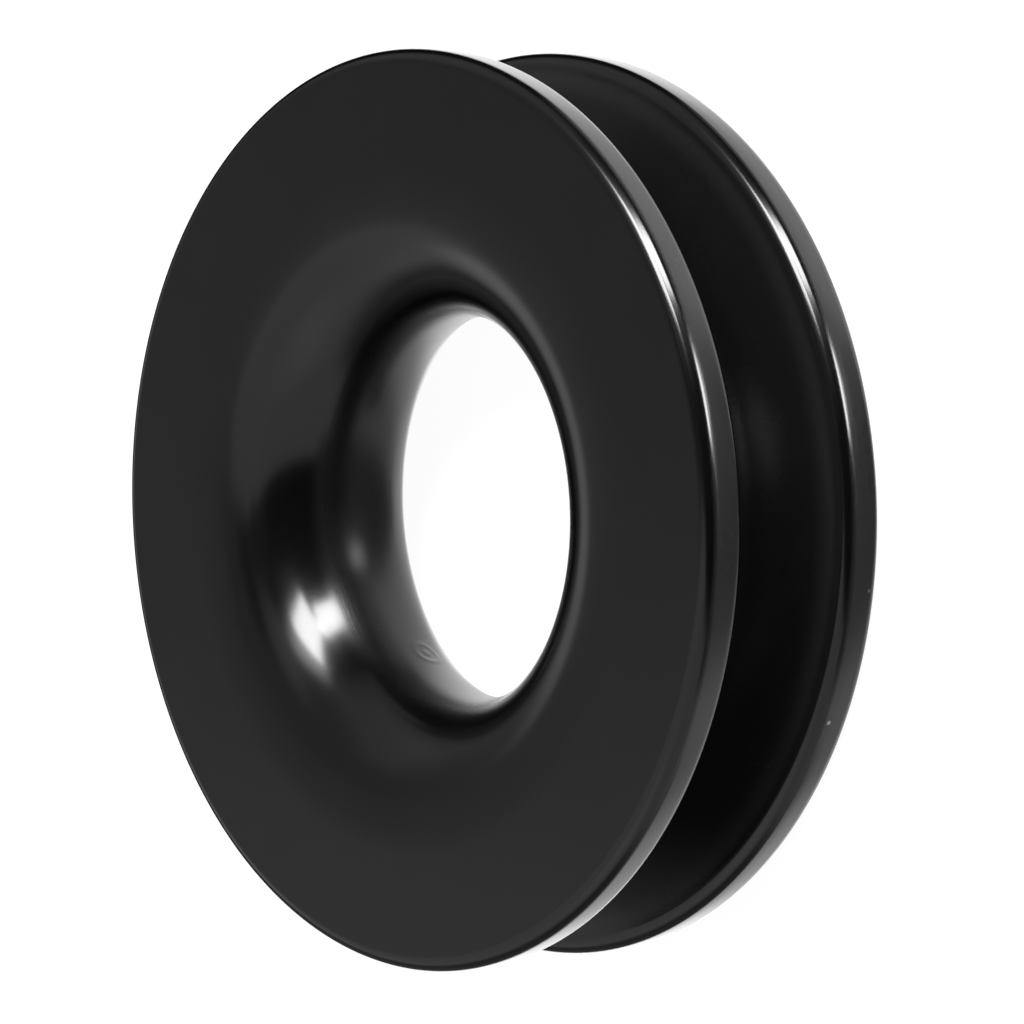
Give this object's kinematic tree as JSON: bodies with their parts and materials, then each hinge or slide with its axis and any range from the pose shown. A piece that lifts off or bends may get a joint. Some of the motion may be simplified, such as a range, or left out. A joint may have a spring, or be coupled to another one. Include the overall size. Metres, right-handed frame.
{
  "type": "recovery ring",
  "caption": "Turned aluminium recovery ring: a rope runs in the round-bottomed groove between its flanges, and a soft shackle goes through the smoothly rounded eye.",
  "frame": {"origin": "middle of the lower flat face, which the ring lies on", "axes": "+Z along the ring's axis, from the lower flat face to the upper one; the ring is the same all round, so +X and +Y are any two square directions in the lower face"},
  "size_m": [0.11, 0.11, 0.027],
  "materials": {
    "black_anodised": "black anodised over fine turning, semi-gloss"
  },
  "bodies": {
    "root": {"recovery_ring": "black_anodised"}
  },
  "joints": []
}
